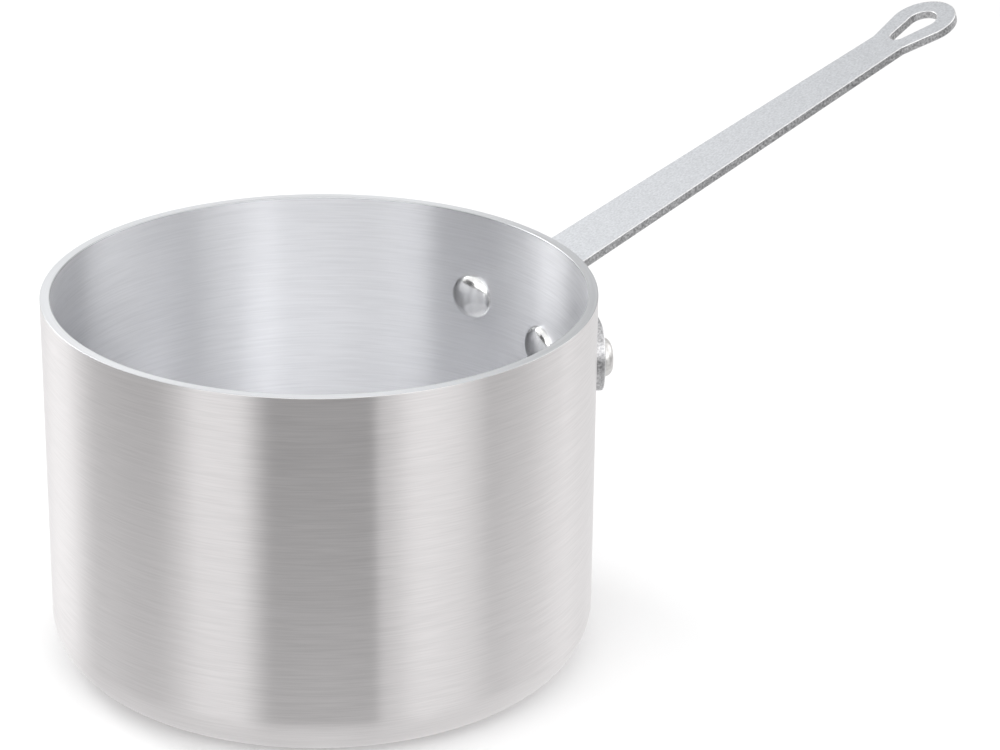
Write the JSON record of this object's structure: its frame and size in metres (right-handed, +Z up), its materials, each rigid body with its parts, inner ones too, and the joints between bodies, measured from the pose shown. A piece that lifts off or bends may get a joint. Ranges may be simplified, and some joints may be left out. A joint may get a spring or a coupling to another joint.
{
  "type": "straight-sided saucepan",
  "caption": "Round straight-sided cooking pan with a rounded lower corner and a flat sloping strap handle riveted to its wall, ending in a teardrop hanging loop.",
  "frame": {"origin": "middle of the flat underside of the base", "axes": "+X along the handle, away from the pan; +Z up out of the mouth of the pan"},
  "size_m": [0.3949, 0.203, 0.2042],
  "materials": {
    "pan": "brushed round the wall",
    "handle": "matte plated, fine grain",
    "rivet": "polished"
  },
  "bodies": {
    "root": {"pan_body": "pan", "handle": "handle", "rivet_left": "rivet", "rivet_middle": "rivet", "rivet_right": "rivet"}
  },
  "joints": []
}
